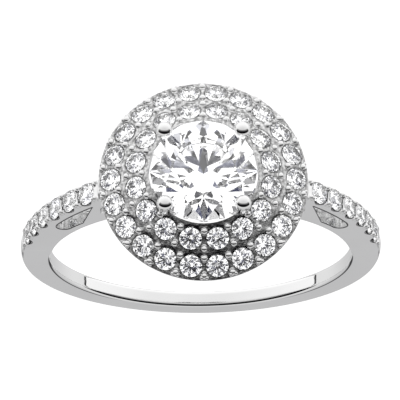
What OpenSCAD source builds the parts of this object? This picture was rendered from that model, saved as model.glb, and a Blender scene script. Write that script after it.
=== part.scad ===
// Double halo ring, lying on its side as it rests on a table.
// It is built in the wearer's frame: X across the finger, Y along the finger, Z towards the head.
// The resting turn at the end lays it down, so that the origin is under the middle of its box.

/* [Band] */
// Inside diameter of the band, the finger size
finger_d = 17.3; // [15:0.1:20]
// Thickness of the band opposite the head
back_t = 1.3; // [1.1:0.05:1.9]
// Thickness of the band at its left and right sides
side_t = 1.7; // [1.4:0.05:2.2]
// Width of the band opposite the head
back_w = 1.0; // [0.9:0.05:1.3]
// Width of the band at the height of the head's foot
head_w = 1.2; // [1.1:0.02:1.4]
// How far the outer face of the band bulges
bulge = 0.15; // [0.08:0.01:0.25]

/* [Shoulders] */
// Radius of the arc that each shoulder follows up to the halo
shoulder_r = 13.2; // [13:0.05:13.6]
// Depth of metal left between the shoulder's crown and a window
rail_t = 0.83; // [0.8:0.01:1.1]
// Depth of metal left between the shoulder's crown and the head's side opening
neck_t = 1.25; // [1.1:0.05:1.4]
// Depth of metal left round the finger under the windows and the head
foot_t = 0.5; // [0.45:0.05:0.7]
// Distance from the halo's rim out to the middle of the first shoulder stone
first_gap = 0.72; // [0.68:0.02:0.9]
// Depth of the stones' girdles under the shoulder's crown
stone_sink = 0.22; // [0.18:0.02:0.3]
// Depth of the scallops between the shoulder beads, under the crown
scallop_depth = 0.39; // [0.35:0.01:0.5]
// Number of stones on each shoulder
shoulder_count = 6; // [3:1:6]
// Distance from the middle of the ring to the head's side opening
opening_x = 5.75; // [5.5:0.05:6]
// Depth of that opening's lower corners under the top of the metal round the finger
opening_drop = 1.35; // [1.1:0.05:1.6]
// Width of the post between the head's side opening and a window, at its foot
post_w = 1.0; // [0.9:0.05:1.3]
// Length of a window along its lower edge, up to the middle of its round tip
window_w = 1.11; // [0.9:0.01:1.3]
// Radius of a window's round tip
window_tip_r = 0.47; // [0.4:0.01:0.48]

/* [Halo] */
// Distance from the centre stone's edge out to the inner row's stone centres
inner_gap = 0.87; // [0.84:0.01:1.1]
// Distance from row to row, measured down the slope, beyond a small stone's diameter
row_space = 0.26; // [0.22:0.02:0.4]
// Least gap between neighbouring small stones of a row
stone_space = 0.19; // [0.16:0.01:0.3]
// Slope of the halo's face
halo_slope = 30; // [26:1:32]
// Height of the outer row's stone centres above the finger hole
halo_rise = 3.03; // [2.95:0.01:3.4]
// Metal outside the outer row's stones, seen from above
rim_w = 0.1; // [0.1:0.01:0.25]
// Height of the halo's upright rim
rim_h = 0.12; // [0.1:0.01:0.2]
// How far the halo's undercut goes in from the rim
under_in = 0.45; // [0.4:0.05:0.6]
// Height of the halo's undercut
under_h = 0.6; // [0.5:0.05:0.7]
// Upright thickness of the halo frame at its inner edge
frame_t = 1.15; // [1:0.05:1.3]

/* [Stones] */
// Diameter of the centre stone
center_d = 6.0; // [5.6:0.1:6.1]
// Diameter of the small stones
small_d = 1.28; // [1.1:0.02:1.3]
// Width of a stone's table as a share of its diameter
table_share = 0.57; // [0.53:0.01:0.62]
// Angle of the crown facets
crown_angle = 34.5; // [32:0.5:36]
// Angle of the pavilion facets
pavilion_angle = 40.8; // [40:0.1:42]
// Gap left between each stone and its seat
seat_gap = 0.03; // [0.02:0.005:0.05]

/* [Setting] */
// Diameter of a claw
claw_d = 0.72; // [0.6:0.02:0.8]
// Diameter of a claw's ball tip
tip_d = 0.94; // [0.8:0.02:1.1]
// Height of a ball tip's centre above the centre stone's girdle
tip_rise = 0.75; // [0.7:0.05:1]
// Gap between the centre stone's edge and the halo's inner edge, seen from above
center_clear = 0.06; // [0.05:0.01:0.2]
// Height of the centre stone's girdle above the halo's inner edge
girdle_rise = 0.1; // [0.05:0.05:0.3]
// Distance of a ball tip's centre outside the centre stone's edge
tip_out = 0.08; // [0.04:0.02:0.15]
// Diameter of the beads between the small stones
bead_d = 0.42; // [0.36:0.02:0.44]

/* [Hidden] */
$fn = 64;
metal_colour = [0.86, 0.86, 0.87];
stone_colour = [0.93, 0.95, 0.98];

// Band
finger_r = finger_d / 2;
band_r = finger_r + side_t;
band_drop = side_t - back_t;
foot_r = finger_r + foot_t;
section_depth = 3.6;
bulge_r = (head_w * head_w / 4 + bulge * bulge) / (2 * bulge);
shoulder_x = band_r - shoulder_r;
// Half the band's width at height z: its flat sides lean in from the bridge under the head to the back
bridge_z = finger_r + foot_t / 2;
side_lean = (head_w - back_w) / 2 / (bridge_z + finger_r + back_t);
function side_at(z) = min(head_w / 2, back_w / 2 + side_lean * (z + finger_r + back_t));

// Stones: heights above and below the girdle's middle for a stone of diameter d
girdle_share = 0.03;
low_facet_share = 0.24;
function girdle_half(d) = d * girdle_share / 2;
function crown_h(d) = d / 2 * (1 - table_share) * tan(crown_angle);
function pavilion_h(d) = d / 2 * tan(pavilion_angle);

// Halo: each row has as many stones as fit, in even numbers
row_gap = small_d + row_space;
inner_row_r = center_d / 2 + inner_gap;
outer_row_r = inner_row_r + row_gap * cos(halo_slope);
outer_row_z = finger_r + halo_rise;
inner_row_z = outer_row_z + row_gap * sin(halo_slope);
stone_pitch = small_d + stone_space;
inner_count = 2 * floor(PI * inner_row_r / stone_pitch);
outer_count = 2 * floor(PI * outer_row_r / stone_pitch);
halo_out_r = outer_row_r + small_d / 2 * cos(halo_slope) + rim_w;
halo_in_r = center_d / 2 + center_clear;
function halo_z(r) = outer_row_z + (outer_row_r - r) * tan(halo_slope);
rim_top_z = halo_z(halo_out_r);
rim_low_z = rim_top_z - rim_h;
inner_low_z = halo_z(halo_in_r) - frame_t;
under_r = halo_out_r - under_in;
under_low_z = rim_low_z - under_h;
under_slope = (inner_low_z - under_low_z) / (under_r - halo_in_r);
function under_z(r) = under_low_z + (under_r - r) * under_slope;

// Shoulder stones: the first one beside the halo's rim, the others down the arc
stone_arc_r = shoulder_r - stone_sink;
first_stone = acos((halo_out_r + first_gap - shoulder_x) / stone_arc_r);
stone_step = stone_pitch / stone_arc_r * 180 / PI;
trough_run_out = 1.1;
trough_run_in = 1.5;
trough_from = first_stone - (shoulder_count - 0.5) * stone_step - trough_run_out;
trough_to = first_stone + 0.5 * stone_step + trough_run_in;
trough_t = 0.14;
scallop_d = small_d - 0.04;

// Each shoulder runs in under the halo, and its end reaches this far up into the halo frame
shoulder_end_x = halo_in_r + 0.5;
shoulder_end = acos((shoulder_end_x - shoulder_x) / shoulder_r);
shoulder_sink = 0.12;
opening_low_z = foot_r - opening_drop;

// Window: the turn of its straight end's foot and of its round tip, about the finger's axis from the X axis,
// the straight end's lean, a turn well past the window, and how far the round tip sinks into the metal
window_foot_turn = acos((opening_x + post_w) / foot_r);
window_tip_turn = window_foot_turn - window_w / foot_r * 180 / PI;
window_lean = 11.3;
window_far_turn = 60;
window_tip_sink = 0.02;

// Centre setting
girdle_z = halo_z(halo_in_r) + girdle_rise;
tip_r = center_d / 2 + tip_out;
tip_z = girdle_z + tip_rise;
claw_foot_r = 0.75;
claw_foot_sink = 0.1;
claw_foot_z = foot_r - claw_foot_sink;
claw_bend_drop = 0.4;
claw_bend_z = girdle_z - claw_bend_drop;
claw_bend_d = claw_d + 0.04;
gallery_share = 0.5;
gallery_r = claw_foot_r + (tip_r - claw_foot_r) * gallery_share;
gallery_z = claw_foot_z + (claw_bend_z - claw_foot_z) * gallery_share;
gallery_w = 0.4;
gallery_h = 0.5;
collar_r = claw_foot_r + 0.15;
collar_h = 0.6;
center_drill_r = 0.1;

// Beads sit in the gaps of a row, this far up or down the slope from the stones' centre line
bead_shift = 0.5;

// Beads on the shoulders: depth of their centres under the crown, and how far they stand out of the sides
bead_drop = bead_d / 2 + 0.03;
bead_out = 0.03;

// Hole drilled under each small stone, and how far it reaches under the stone's girdle
drill_r = 0.27;
drill_h = 1.6;
shoulder_drill_h = 1.2;

// Resting turn: the ring lies on the low edge of the halo's rim and the far edge of the band's back
back_edge_y = back_w / 2;
back_edge_z = finger_r + back_t - bulge_r + sqrt(bulge_r * bulge_r - back_edge_y * back_edge_y);
rest_turn = atan((halo_out_r - back_edge_y) / (rim_low_z + back_edge_z));
rest_lift = halo_out_r * cos(rest_turn) - rim_low_z * sin(rest_turn);
head_reach = tip_z * cos(rest_turn) + tip_r * sin(45) * sin(rest_turn) + tip_d / 2;
back_reach = (finger_r + back_t - bulge_r) * cos(rest_turn) + bulge_r;
rest_shift = (head_reach - back_reach) / 2;

// Shared forms

// A round brilliant with its girdle in the XY plane and its table up: table, star, kite, upper and
// lower girdle and pavilion facets, and a sixteen-sided girdle
module brilliant(d) {
    r = d / 2;
    g = girdle_half(d);
    table_r = r * table_share;
    star_r = (table_r * cos(22.5) + r) / 2;
    star_z = g + crown_h(d) - (star_r * cos(22.5) - table_r) * tan(crown_angle);
    low_r = r * low_facet_share;
    low_z = -g - pavilion_h(d) + low_r * cos(22.5) * tan(pavilion_angle);
    ring8 = [for (k = [0:7]) k];
    ring16 = [for (k = [0:15]) k];
    points = concat(
        [for (k = ring8) [table_r * cos(45 * k), table_r * sin(45 * k), g + crown_h(d)]],
        [for (k = ring8) [star_r * cos(45 * k + 22.5), star_r * sin(45 * k + 22.5), star_z]],
        [for (k = ring16) [r * cos(22.5 * k), r * sin(22.5 * k), g]],
        [for (k = ring16) [r * cos(22.5 * k), r * sin(22.5 * k), -g]],
        [for (k = ring8) [low_r * cos(45 * k + 22.5), low_r * sin(45 * k + 22.5), low_z]],
        [[0, 0, -g - pavilion_h(d)]]);
    star = len(ring8);
    top = star + len(ring8);
    low = top + len(ring16);
    half = low + len(ring16);
    culet = half + len(ring8);
    faces = concat(
        [[for (k = ring8) 7 - k]],
        [for (k = ring8) [k, (k + 1) % 8, star + k]],
        [for (k = ring8) [k, star + k, top + 2 * k, star + (k + 7) % 8]],
        [for (k = ring8) [star + k, top + 2 * k + 1, top + 2 * k]],
        [for (k = ring8) [star + k, top + (2 * k + 2) % 16, top + 2 * k + 1]],
        [for (k = ring16) [top + k, top + (k + 1) % 16, low + (k + 1) % 16, low + k]],
        [for (k = ring8) [half + k, low + 2 * k, low + 2 * k + 1]],
        [for (k = ring8) [half + k, low + 2 * k + 1, low + (2 * k + 2) % 16]],
        [for (k = ring8) [culet, half + (k + 7) % 8, low + 2 * k, half + k]]);
    polyhedron(points = points, faces = faces);
}

// The room that a stone of diameter d needs: the round form of the stone, larger all round by the gap,
// with a drilled hole of radius hole_r under it
module seat(d, hole_r, hole_h) {
    r = d / 2 + seat_gap;
    g = girdle_half(d) + seat_gap;
    table_r = r * table_share;
    rotate_extrude($fn = 48)
        polygon([[0, -hole_h], [hole_r, -hole_h], [hole_r, -g - (r - hole_r) * tan(pavilion_angle)], [r, -g], [r, g],
                 [table_r, g + (r - table_r) * tan(crown_angle)], [0, g + (r - table_r) * tan(crown_angle)]]);
}

// Places its children at stone k of a halo row
module at_row(row_r, row_z, count, k) {
    rotate([0, 0, 270 + (k + 0.5) * 360 / count]) translate([row_r, 0, row_z]) rotate([0, halo_slope, 0]) children();
}

// Places its children on the shoulder's arc: side 1 is the right shoulder and -1 the left one
module at_arc(side, angle, rise) {
    mirror([side < 0 ? 1 : 0, 0, 0])
        translate([shoulder_x + (shoulder_r + rise) * cos(angle), 0, band_drop + (shoulder_r + rise) * sin(angle)])
            rotate([0, 90 - angle, 0]) children();
}

// Turns a form drawn in the XY plane up into the XZ plane, where the band's outline lies
module upright() {
    rotate([90, 0, 0]) children();
}

// Lays the worn ring down on its side
module at_rest() {
    translate([0, rest_shift, rest_lift]) rotate([90 - rest_turn, 0, 0]) rotate([0, 0, 180]) children();
}

// Band

// Section of the band across its rim: flat sides and a bulging outer face
module band_section(r) {
    intersection() {
        translate([r - bulge_r, 0]) circle(bulge_r);
        translate([r - section_depth, -head_w / 2]) square([section_depth, head_w]);
    }
}

// One shoulder: the section carried along the shoulder's arc
module shoulder_arc(side) {
    mirror([side < 0 ? 1 : 0, 0, 0]) translate([shoulder_x, 0, band_drop]) upright()
        rotate_extrude(angle = shoulder_end, $fn = 128) band_section(shoulder_r);
}

// Flat sides that close in from the head to the back
module side_taper() {
    translate([-shoulder_r, 0, 0]) rotate([90, 0, 90]) linear_extrude(2 * shoulder_r)
        polygon([[-back_w / 2, -band_r], [back_w / 2, -band_r], [back_w / 2, -finger_r - back_t],
                 [head_w / 2, bridge_z], [head_w / 2, shoulder_r], [-head_w / 2, shoulder_r],
                 [-head_w / 2, bridge_z], [-back_w / 2, -finger_r - back_t]]);
}

// Leaf-shaped window in a shoulder, drawn in the plane of the outline: a round tip, a straight leaning end,
// and two arcs that keep the depths of metal named above it and below it
module window_outline() {
    tip_at = foot_r + window_tip_r - window_tip_sink;
    foot = foot_r * [cos(window_foot_turn), sin(window_foot_turn)];
    end_way = [-sin(window_lean), cos(window_lean)];
    difference() {
        intersection() {
            translate([shoulder_x, band_drop]) circle(shoulder_r - rail_t, $fn = 128);
            polygon([[0, 0], 2 * shoulder_r * [cos(window_tip_turn), sin(window_tip_turn)],
                     2 * shoulder_r * [cos(window_far_turn), sin(window_far_turn)],
                     foot + shoulder_r * end_way, foot - window_tip_r * end_way]);
        }
        circle(foot_r, $fn = 128);
    }
    translate(tip_at * [cos(window_tip_turn), sin(window_tip_turn)]) circle(window_tip_r, $fn = 32);
}

// Open space between the head's foot and the halo, drawn in the plane of the outline
module head_opening_outline() {
    difference() {
        union() {
            intersection() {
                translate([-opening_x, opening_low_z]) square([2 * opening_x, shoulder_r]);
                translate([shoulder_x, band_drop]) circle(shoulder_r - neck_t, $fn = 128);
                translate([-shoulder_x, band_drop]) circle(shoulder_r - neck_t, $fn = 128);
            }
            translate([-shoulder_end_x, 0]) square([2 * shoulder_end_x, shoulder_r]);
        }
        circle(foot_r, $fn = 128);
    }
}

module side_cut(depth) {
    translate([0, depth / 2, 0]) upright() linear_extrude(depth) children();
}

module band() {
    cut_w = head_w + 2;
    difference() {
        intersection() {
            union() {
                translate([0, 0, band_drop]) upright() rotate([0, 0, 180])
                    rotate_extrude(angle = 180, $fn = 128) band_section(band_r);
                shoulder_arc(1);
                shoulder_arc(-1);
                upright() cylinder(h = head_w, r = foot_r, center = true, $fn = 128);
            }
            side_taper();
        }
        side_cut(cut_w) window_outline();
        side_cut(cut_w) mirror([1, 0]) window_outline();
        side_cut(cut_w) head_opening_outline();
        for (side = [-1, 1]) {
            shoulder_trough(side);
            shoulder_scallops(side);
        }
    }
}

// Halo

module halo_frame() {
    rotate_extrude($fn = 128)
        polygon([[halo_in_r, halo_z(halo_in_r)], [halo_out_r, rim_top_z], [halo_out_r, rim_low_z],
                 [under_r, under_low_z], [halo_in_r, inner_low_z]]);
}

// All that lies above the halo frame's underside, where the shoulders stop
module halo_room() {
    rotate_extrude($fn = 128)
        polygon([[0, under_z(0) + shoulder_sink], [under_r, under_low_z + shoulder_sink],
                 [halo_out_r, rim_low_z + shoulder_sink], [halo_out_r, under_z(0) + shoulder_r],
                 [0, under_z(0) + shoulder_r]]);
}

// Beads on both sides of a row's stones, in each gap of the row
module row_beads(row_r, row_z, count) {
    for (k = [0:count - 1]) for (s = [-1, 1])
        at_row(row_r, row_z, count, k + 0.5) translate([s * bead_shift, 0, 0]) sphere(d = bead_d, $fn = 24);
}

module row_seats(row_r, row_z, count) {
    for (k = [0:count - 1]) at_row(row_r, row_z, count, k) seat(small_d, drill_r, drill_h);
}

// The halo frame with its beads and its drilled seats
module set_halo() {
    difference() {
        union() {
            halo_frame();
            row_beads(outer_row_r, outer_row_z, outer_count);
            row_beads(inner_row_r, inner_row_z, inner_count);
        }
        row_seats(outer_row_r, outer_row_z, outer_count);
        row_seats(inner_row_r, inner_row_z, inner_count);
    }
}

// Centre setting

// A round bar from point a to point b
module bar(a, b, d) {
    v = b - a;
    translate(a) rotate([0, atan2(norm([v[0], v[1]]), v[2]), atan2(v[1], v[0])]) cylinder(h = norm(v), d = d, $fn = 32);
}

module claw() {
    bend = [tip_r, 0, claw_bend_z];
    bar([claw_foot_r, 0, claw_foot_z], bend, claw_d);
    translate(bend) sphere(d = claw_bend_d, $fn = 32);
    translate(bend) cylinder(h = tip_z - claw_bend_z, d = claw_d, $fn = 32);
    translate([tip_r, 0, tip_z]) sphere(d = tip_d, $fn = 32);
}

module setting() {
    difference() {
        union() {
            for (k = [0:3]) rotate([0, 0, 45 + 90 * k]) claw();
            rotate_extrude() translate([gallery_r - gallery_w / 2, gallery_z - gallery_h / 2])
                square([gallery_w, gallery_h]);
            translate([0, 0, claw_foot_z - claw_foot_sink]) cylinder(h = collar_h, r = collar_r);
        }
        translate([0, 0, girdle_z]) seat(center_d, center_drill_r, center_d / 2);
    }
}

// Shoulder stones

// The trough that is cut down between the shoulder's side walls, for the beads to stand in
module shoulder_trough(side) {
    mirror([side < 0 ? 1 : 0, 0, 0]) translate([shoulder_x, 0, band_drop]) upright()
        rotate([0, 0, trough_from]) rotate_extrude(angle = trough_to - trough_from, $fn = 128)
            translate([shoulder_r - trough_t, -head_w]) square([1, 2 * head_w]);
}

// Scallops cut across the shoulder under each stone
module shoulder_scallops(side) {
    for (k = [0:shoulder_count - 1])
        at_arc(side, first_stone - k * stone_step, scallop_d / 2 - scallop_depth)
            rotate([90, 0, 0]) cylinder(h = 2 * head_w, d = scallop_d, center = true, $fn = 48);
}

module shoulder_seats(side) {
    for (k = [0:shoulder_count - 1])
        at_arc(side, first_stone - k * stone_step, -stone_sink) seat(small_d, drill_r, shoulder_drill_h);
}

// Pairs of beads before, between and after the shoulder stones, a little proud of the band's sides
module shoulder_beads(side) {
    for (k = [0:shoulder_count]) {
        angle = first_stone - (k - 0.5) * stone_step;
        edge = side_at(band_drop + (shoulder_r - bead_drop) * sin(angle));
        for (s = [-1, 1])
            at_arc(side, angle, -bead_drop)
                translate([0, s * (edge - bead_d / 2 + bead_out), 0]) sphere(d = bead_d, $fn = 24);
    }
}

// The band with its shoulders drilled, scalloped and beaded, and the finger hole cut last
module set_band() {
    difference() {
        union() {
            band();
            shoulder_beads(1);
            shoulder_beads(-1);
        }
        upright() cylinder(h = 2 * halo_out_r, r = finger_r, center = true, $fn = 128);
        shoulder_seats(1);
        shoulder_seats(-1);
        halo_room();
    }
}

module shoulder_stones(side) {
    for (k = [0:shoulder_count - 1]) at_arc(side, first_stone - k * stone_step, -stone_sink) brilliant(small_d);
}

// Nodes

module ring_metal() {
    color(metal_colour) at_rest() {
        set_band();
        set_halo();
        setting();
    }
}

module center_stone() {
    color(stone_colour) at_rest() translate([0, 0, girdle_z]) brilliant(center_d);
}

module inner_halo_stones() {
    color(stone_colour) at_rest()
        for (k = [0:inner_count - 1]) at_row(inner_row_r, inner_row_z, inner_count, k) brilliant(small_d);
}

module outer_halo_stones() {
    color(stone_colour) at_rest()
        for (k = [0:outer_count - 1]) at_row(outer_row_r, outer_row_z, outer_count, k) brilliant(small_d);
}

module left_shoulder_stones() {
    color(stone_colour) at_rest() shoulder_stones(-1);
}

module right_shoulder_stones() {
    color(stone_colour) at_rest() shoulder_stones(1);
}

ring_metal();
center_stone();
inner_halo_stones();
outer_halo_stones();
left_shoulder_stones();
right_shoulder_stones();
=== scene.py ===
"""Dresses the halo ring: polished white metal, cut stones, and the pale studio it is photographed in."""
import math

import bmesh
import bpy
import numpy as np
from mathutils import Matrix, Vector


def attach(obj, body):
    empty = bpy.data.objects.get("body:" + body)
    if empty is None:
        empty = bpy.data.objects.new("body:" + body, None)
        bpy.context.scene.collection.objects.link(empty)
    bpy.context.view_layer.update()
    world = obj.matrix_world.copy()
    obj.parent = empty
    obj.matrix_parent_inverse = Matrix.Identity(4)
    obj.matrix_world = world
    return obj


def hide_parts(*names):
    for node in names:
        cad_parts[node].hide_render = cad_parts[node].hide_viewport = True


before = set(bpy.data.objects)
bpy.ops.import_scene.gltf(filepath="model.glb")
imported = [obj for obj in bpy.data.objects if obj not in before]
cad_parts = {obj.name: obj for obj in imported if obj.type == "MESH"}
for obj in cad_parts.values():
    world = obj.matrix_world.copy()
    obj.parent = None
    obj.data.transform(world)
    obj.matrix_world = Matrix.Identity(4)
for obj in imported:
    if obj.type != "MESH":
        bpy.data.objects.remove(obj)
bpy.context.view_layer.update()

MM = 0.001

# Shape of the worn ring, in millimetres, as in the part's source
# Its frame has X across the finger, Y along it and Z towards the head.

# Band
FINGER_R = 8.65
BACK_T = 1.3
SIDE_T = 1.7
BACK_W = 1.0
HEAD_W = 1.2
BULGE = 0.15
FOOT_T = 0.5
BAND_R = FINGER_R + SIDE_T
BAND_DROP = SIDE_T - BACK_T
BULGE_R = (HEAD_W ** 2 / 4 + BULGE ** 2) / (2 * BULGE)
FOOT_R = FINGER_R + FOOT_T
BRIDGE_Z = FINGER_R + FOOT_T / 2

# Halo
HALO_SLOPE = math.radians(30)
CENTER_R = 3.0
SMALL_R = 0.64
INNER_GAP = 0.87
ROW_SPACE = 0.26
STONE_SPACE = 0.19
HALO_RISE = 3.03
RIM_W = 0.1
RIM_H = 0.12
CENTER_CLEAR = 0.06
STONE_PITCH = 2 * SMALL_R + STONE_SPACE
ROW_GAP = 2 * SMALL_R + ROW_SPACE
INNER_R = CENTER_R + INNER_GAP
OUTER_R = INNER_R + ROW_GAP * math.cos(HALO_SLOPE)
OUTER_Z = FINGER_R + HALO_RISE
INNER_Z = OUTER_Z + ROW_GAP * math.sin(HALO_SLOPE)
HALO_OUT_R = OUTER_R + SMALL_R * math.cos(HALO_SLOPE) + RIM_W
HALO_IN_R = CENTER_R + CENTER_CLEAR

# Rows of the halo: radius, height and number of stones
OUTER_ROW = (OUTER_R, OUTER_Z, 2 * math.floor(math.pi * OUTER_R / STONE_PITCH))
INNER_ROW = (INNER_R, INNER_Z, 2 * math.floor(math.pi * INNER_R / STONE_PITCH))
ROWS = (OUTER_ROW, INNER_ROW)

# Shoulders, their stones and their windows
SHOULDER_R = 13.2
SHOULDER_X = BAND_R - SHOULDER_R
SHOULDER_COUNT = 6
STONE_SINK = 0.22
FIRST_GAP = 0.72
STONE_ARC_R = SHOULDER_R - STONE_SINK
FIRST_STONE = math.acos((HALO_OUT_R + FIRST_GAP - SHOULDER_X) / STONE_ARC_R)
STONE_STEP = STONE_PITCH / STONE_ARC_R
RAIL_T = 0.83
OPENING_X = 5.75
POST_W = 1.0
WINDOW_W = 1.11
WINDOW_TIP_R = 0.47
WINDOW_TIP_SINK = 0.02
WINDOW_LEAN = math.radians(11.3)


def halo_z(r):
    """Height of the halo's sloping face at distance r from its middle."""
    return OUTER_Z + (OUTER_R - r) * math.tan(HALO_SLOPE)


def side_at(z):
    """Half the band's width at height z: its flat sides lean in from the bridge under the head to the
    back."""
    lean = (HEAD_W - BACK_W) / 2 / (BRIDGE_Z + FINGER_R + BACK_T)
    return np.minimum(HEAD_W / 2, BACK_W / 2 + lean * (z + FINGER_R + BACK_T))


# Ball tips of the claws
GIRDLE_RISE = 0.1
TIP_RISE = 0.75
TIP_OUT = 0.08
TIP_BALL_R = 0.47
TIP_R = CENTER_R + TIP_OUT
TIP_Z = halo_z(HALO_IN_R) + GIRDLE_RISE + TIP_RISE
TIP_TURN = math.radians(45)

# How the worn ring is laid down
# It lies on the low edge of the halo's rim and the far edge of the band's back, its box over the origin.
RIM_LOW_Z = halo_z(HALO_OUT_R) - RIM_H
BACK_EDGE_Y = BACK_W / 2
BACK_EDGE_Z = FINGER_R + BACK_T - BULGE_R + math.sqrt(BULGE_R ** 2 - BACK_EDGE_Y ** 2)
REST_TURN = math.atan((HALO_OUT_R - BACK_EDGE_Y) / (RIM_LOW_Z + BACK_EDGE_Z))
REST_LIFT = HALO_OUT_R * math.cos(REST_TURN) - RIM_LOW_Z * math.sin(REST_TURN)
HEAD_REACH = TIP_Z * math.cos(REST_TURN) + TIP_R * math.sin(TIP_TURN) * math.sin(REST_TURN) + TIP_BALL_R
BACK_REACH = (FINGER_R + BACK_T - BULGE_R) * math.cos(REST_TURN) + BULGE_R
REST_SHIFT = (HEAD_REACH - BACK_REACH) / 2
REST_PLACE = np.array([0.0, REST_SHIFT, REST_LIFT])
LAID = np.array([
    [-1.0, 0.0, 0.0],
    [0.0, -math.sin(REST_TURN), -math.cos(REST_TURN)],
    [0.0, -math.cos(REST_TURN), math.sin(REST_TURN)],
])


def lay(points):
    """Points of the worn ring in millimetres, laid on the table in metres: turned by LAID, then
    shifted."""
    return (np.asarray(points, float) @ LAID.T + REST_PLACE) * MM


def worn_place(coordinates):
    """Points on the table, in metres, back in the worn ring's frame in millimetres."""
    return (coordinates / MM - REST_PLACE) @ LAID


def turn(direction):
    """A direction of the worn ring, turned as the ring is laid down."""
    return LAID @ np.asarray(direction, float)


# Camera
# It stands where the photographer stood: angles up from the finger's axis and round the head, a roll,
# and a distance in millimetres. PHOTO_SCALE is the photo's focal length, and PHOTO_SHIFT is how far
# right of the photo's middle, and how far below it, the middle of the finger hole lies, all in the
# photo's pixels.
CAMERA_RISE = math.radians(70.436)
CAMERA_SIDE = math.radians(-2.553)
CAMERA_ROLL = math.radians(2.117)
CAMERA_REACH = 400.0
LENS = 625.3
SENSOR_W = 36.0
PHOTO_SCALE = 6948.1
PHOTO_SHIFT = (0.718, 49.19)
NEAREST = 0.01
FARTHEST = 50.0


def add_camera():
    """Looks along -c, where c is the unit vector from the ring's middle to the lens, and rolls about
    it. It aims past the ring's middle by the photo's shift, each pixel of which measures
    CAMERA_REACH / PHOTO_SCALE millimetres there."""
    c = np.array([
        math.sin(CAMERA_SIDE) * math.cos(CAMERA_RISE),
        -math.cos(CAMERA_SIDE) * math.cos(CAMERA_RISE),
        math.sin(CAMERA_RISE),
    ])
    right = np.cross([0.0, 0.0, 1.0], c)
    right /= np.linalg.norm(right)
    up = np.cross(c, right)
    across = math.cos(CAMERA_ROLL) * right + math.sin(CAMERA_ROLL) * up
    upward = -math.sin(CAMERA_ROLL) * right + math.cos(CAMERA_ROLL) * up
    pixel = CAMERA_REACH / PHOTO_SCALE
    aim = -across * PHOTO_SHIFT[0] * pixel + upward * PHOTO_SHIFT[1] * pixel
    place = lay([c * CAMERA_REACH])[0]
    back = place - lay([aim])[0]
    back /= np.linalg.norm(back)
    x = np.cross(turn(upward), back)
    x /= np.linalg.norm(x)
    y = np.cross(back, x)
    data = bpy.data.cameras.new("photo_camera")
    data.lens = LENS
    data.sensor_width = SENSOR_W
    data.clip_start = NEAREST
    data.clip_end = FARTHEST
    camera = bpy.data.objects.new("photo_camera", data)
    bpy.context.scene.collection.objects.link(camera)
    basis = [[x[i], y[i], back[i], place[i]] for i in range(3)]
    camera.matrix_world = Matrix(basis + [[0, 0, 0, 1]])
    bpy.context.scene.camera = camera


# Colours and node helpers

def grey(value, blue=0.0):
    """A grey colour, with a little more blue in it if wanted."""
    return (value, value, value + blue, 1)


def put(tree, kind, **values):
    """Adds a node, sets its inputs by the names that start with a capital, and its properties by the
    others."""
    node = tree.nodes.new(kind)
    for name, value in values.items():
        if name[0].isupper():
            node.inputs[name.replace("_", " ")].default_value = value
        else:
            setattr(node, name, value)
    return node


def feed(tree, socket, value):
    """Links another node's output to a socket, or sets the socket to a plain value."""
    if isinstance(value, bpy.types.NodeSocket):
        tree.links.new(value, socket)
    else:
        socket.default_value = value


def math_node(tree, operation, *terms, clamp=False):
    """A Math node whose terms are numbers or outputs of other nodes; returns its own output."""
    node = put(tree, "ShaderNodeMath", operation=operation, use_clamp=clamp)
    for socket, value in zip(node.inputs, terms):
        feed(tree, socket, value)
    return node.outputs[0]


def ramp_between(tree, value, low, high):
    """0 below low, 1 above high and smooth between them."""
    node = put(tree, "ShaderNodeMapRange", interpolation_type="SMOOTHSTEP", From_Min=low, From_Max=high)
    tree.links.new(value, node.inputs["Value"])
    return node.outputs["Result"]


def mix_colour(tree, factor, a, b):
    """Mixes two colours, each a tuple or a socket, by factor."""
    node = put(tree, "ShaderNodeMix", data_type="RGBA")
    for socket, value in zip((node.inputs[0], node.inputs[6], node.inputs[7]), (factor, a, b)):
        feed(tree, socket, value)
    return node.outputs[2]


def new_tree(owner):
    """The emptied node tree of a material or a world."""
    owner.use_nodes = True
    owner.node_tree.nodes.clear()
    return owner.node_tree


# Studio
# Its directions are in the worn ring's frame: up, front, and the middle of the cloths, which is the way
# to the lens. Heights, fronts and sides say how far a ray of length 1 runs along up, front and X, and
# each pair gives where a part fades in or out. The cloths' angles are in degrees.
STUDIO_UP = (0.0, 0.434, 0.901)
STUDIO_FRONT = (0.0, -0.901, 0.434)
CLOTHS_WAY = (-0.015, -0.335, 0.942)
HORIZON = (-0.004, 0.004)
LINE_HEIGHT = -0.014
LINE_FADE = (0.012, 0.02)
CARD_FOOT = (-0.27, -0.21)
CARD_BOW = 0.25
CARD_MIDDLE = (0.34, 0.4)
CARD_TOP = (0.5, 0.7)
CARD_FRONT = (0.02, 0.14)
CARD_LIGHTER = 0.2
STRIP_NEAR = (0.26, 0.34)
STRIP_FAR = (0.46, 0.56)
STRIP_TOP = (-0.8, -0.7)
STRIP_DARK = 0.9
GROUND_HEIGHTS = (-0.95, -0.15)
DOME_FRONTS = (-0.9, 1.0)
BLUE_CLOTH = (0.1, 0.11, 0.2, 1)
BLUE_CLOTH_ANGLES = (29, 21)
BLACK_CLOTH_ANGLES = (22, 16)


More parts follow.
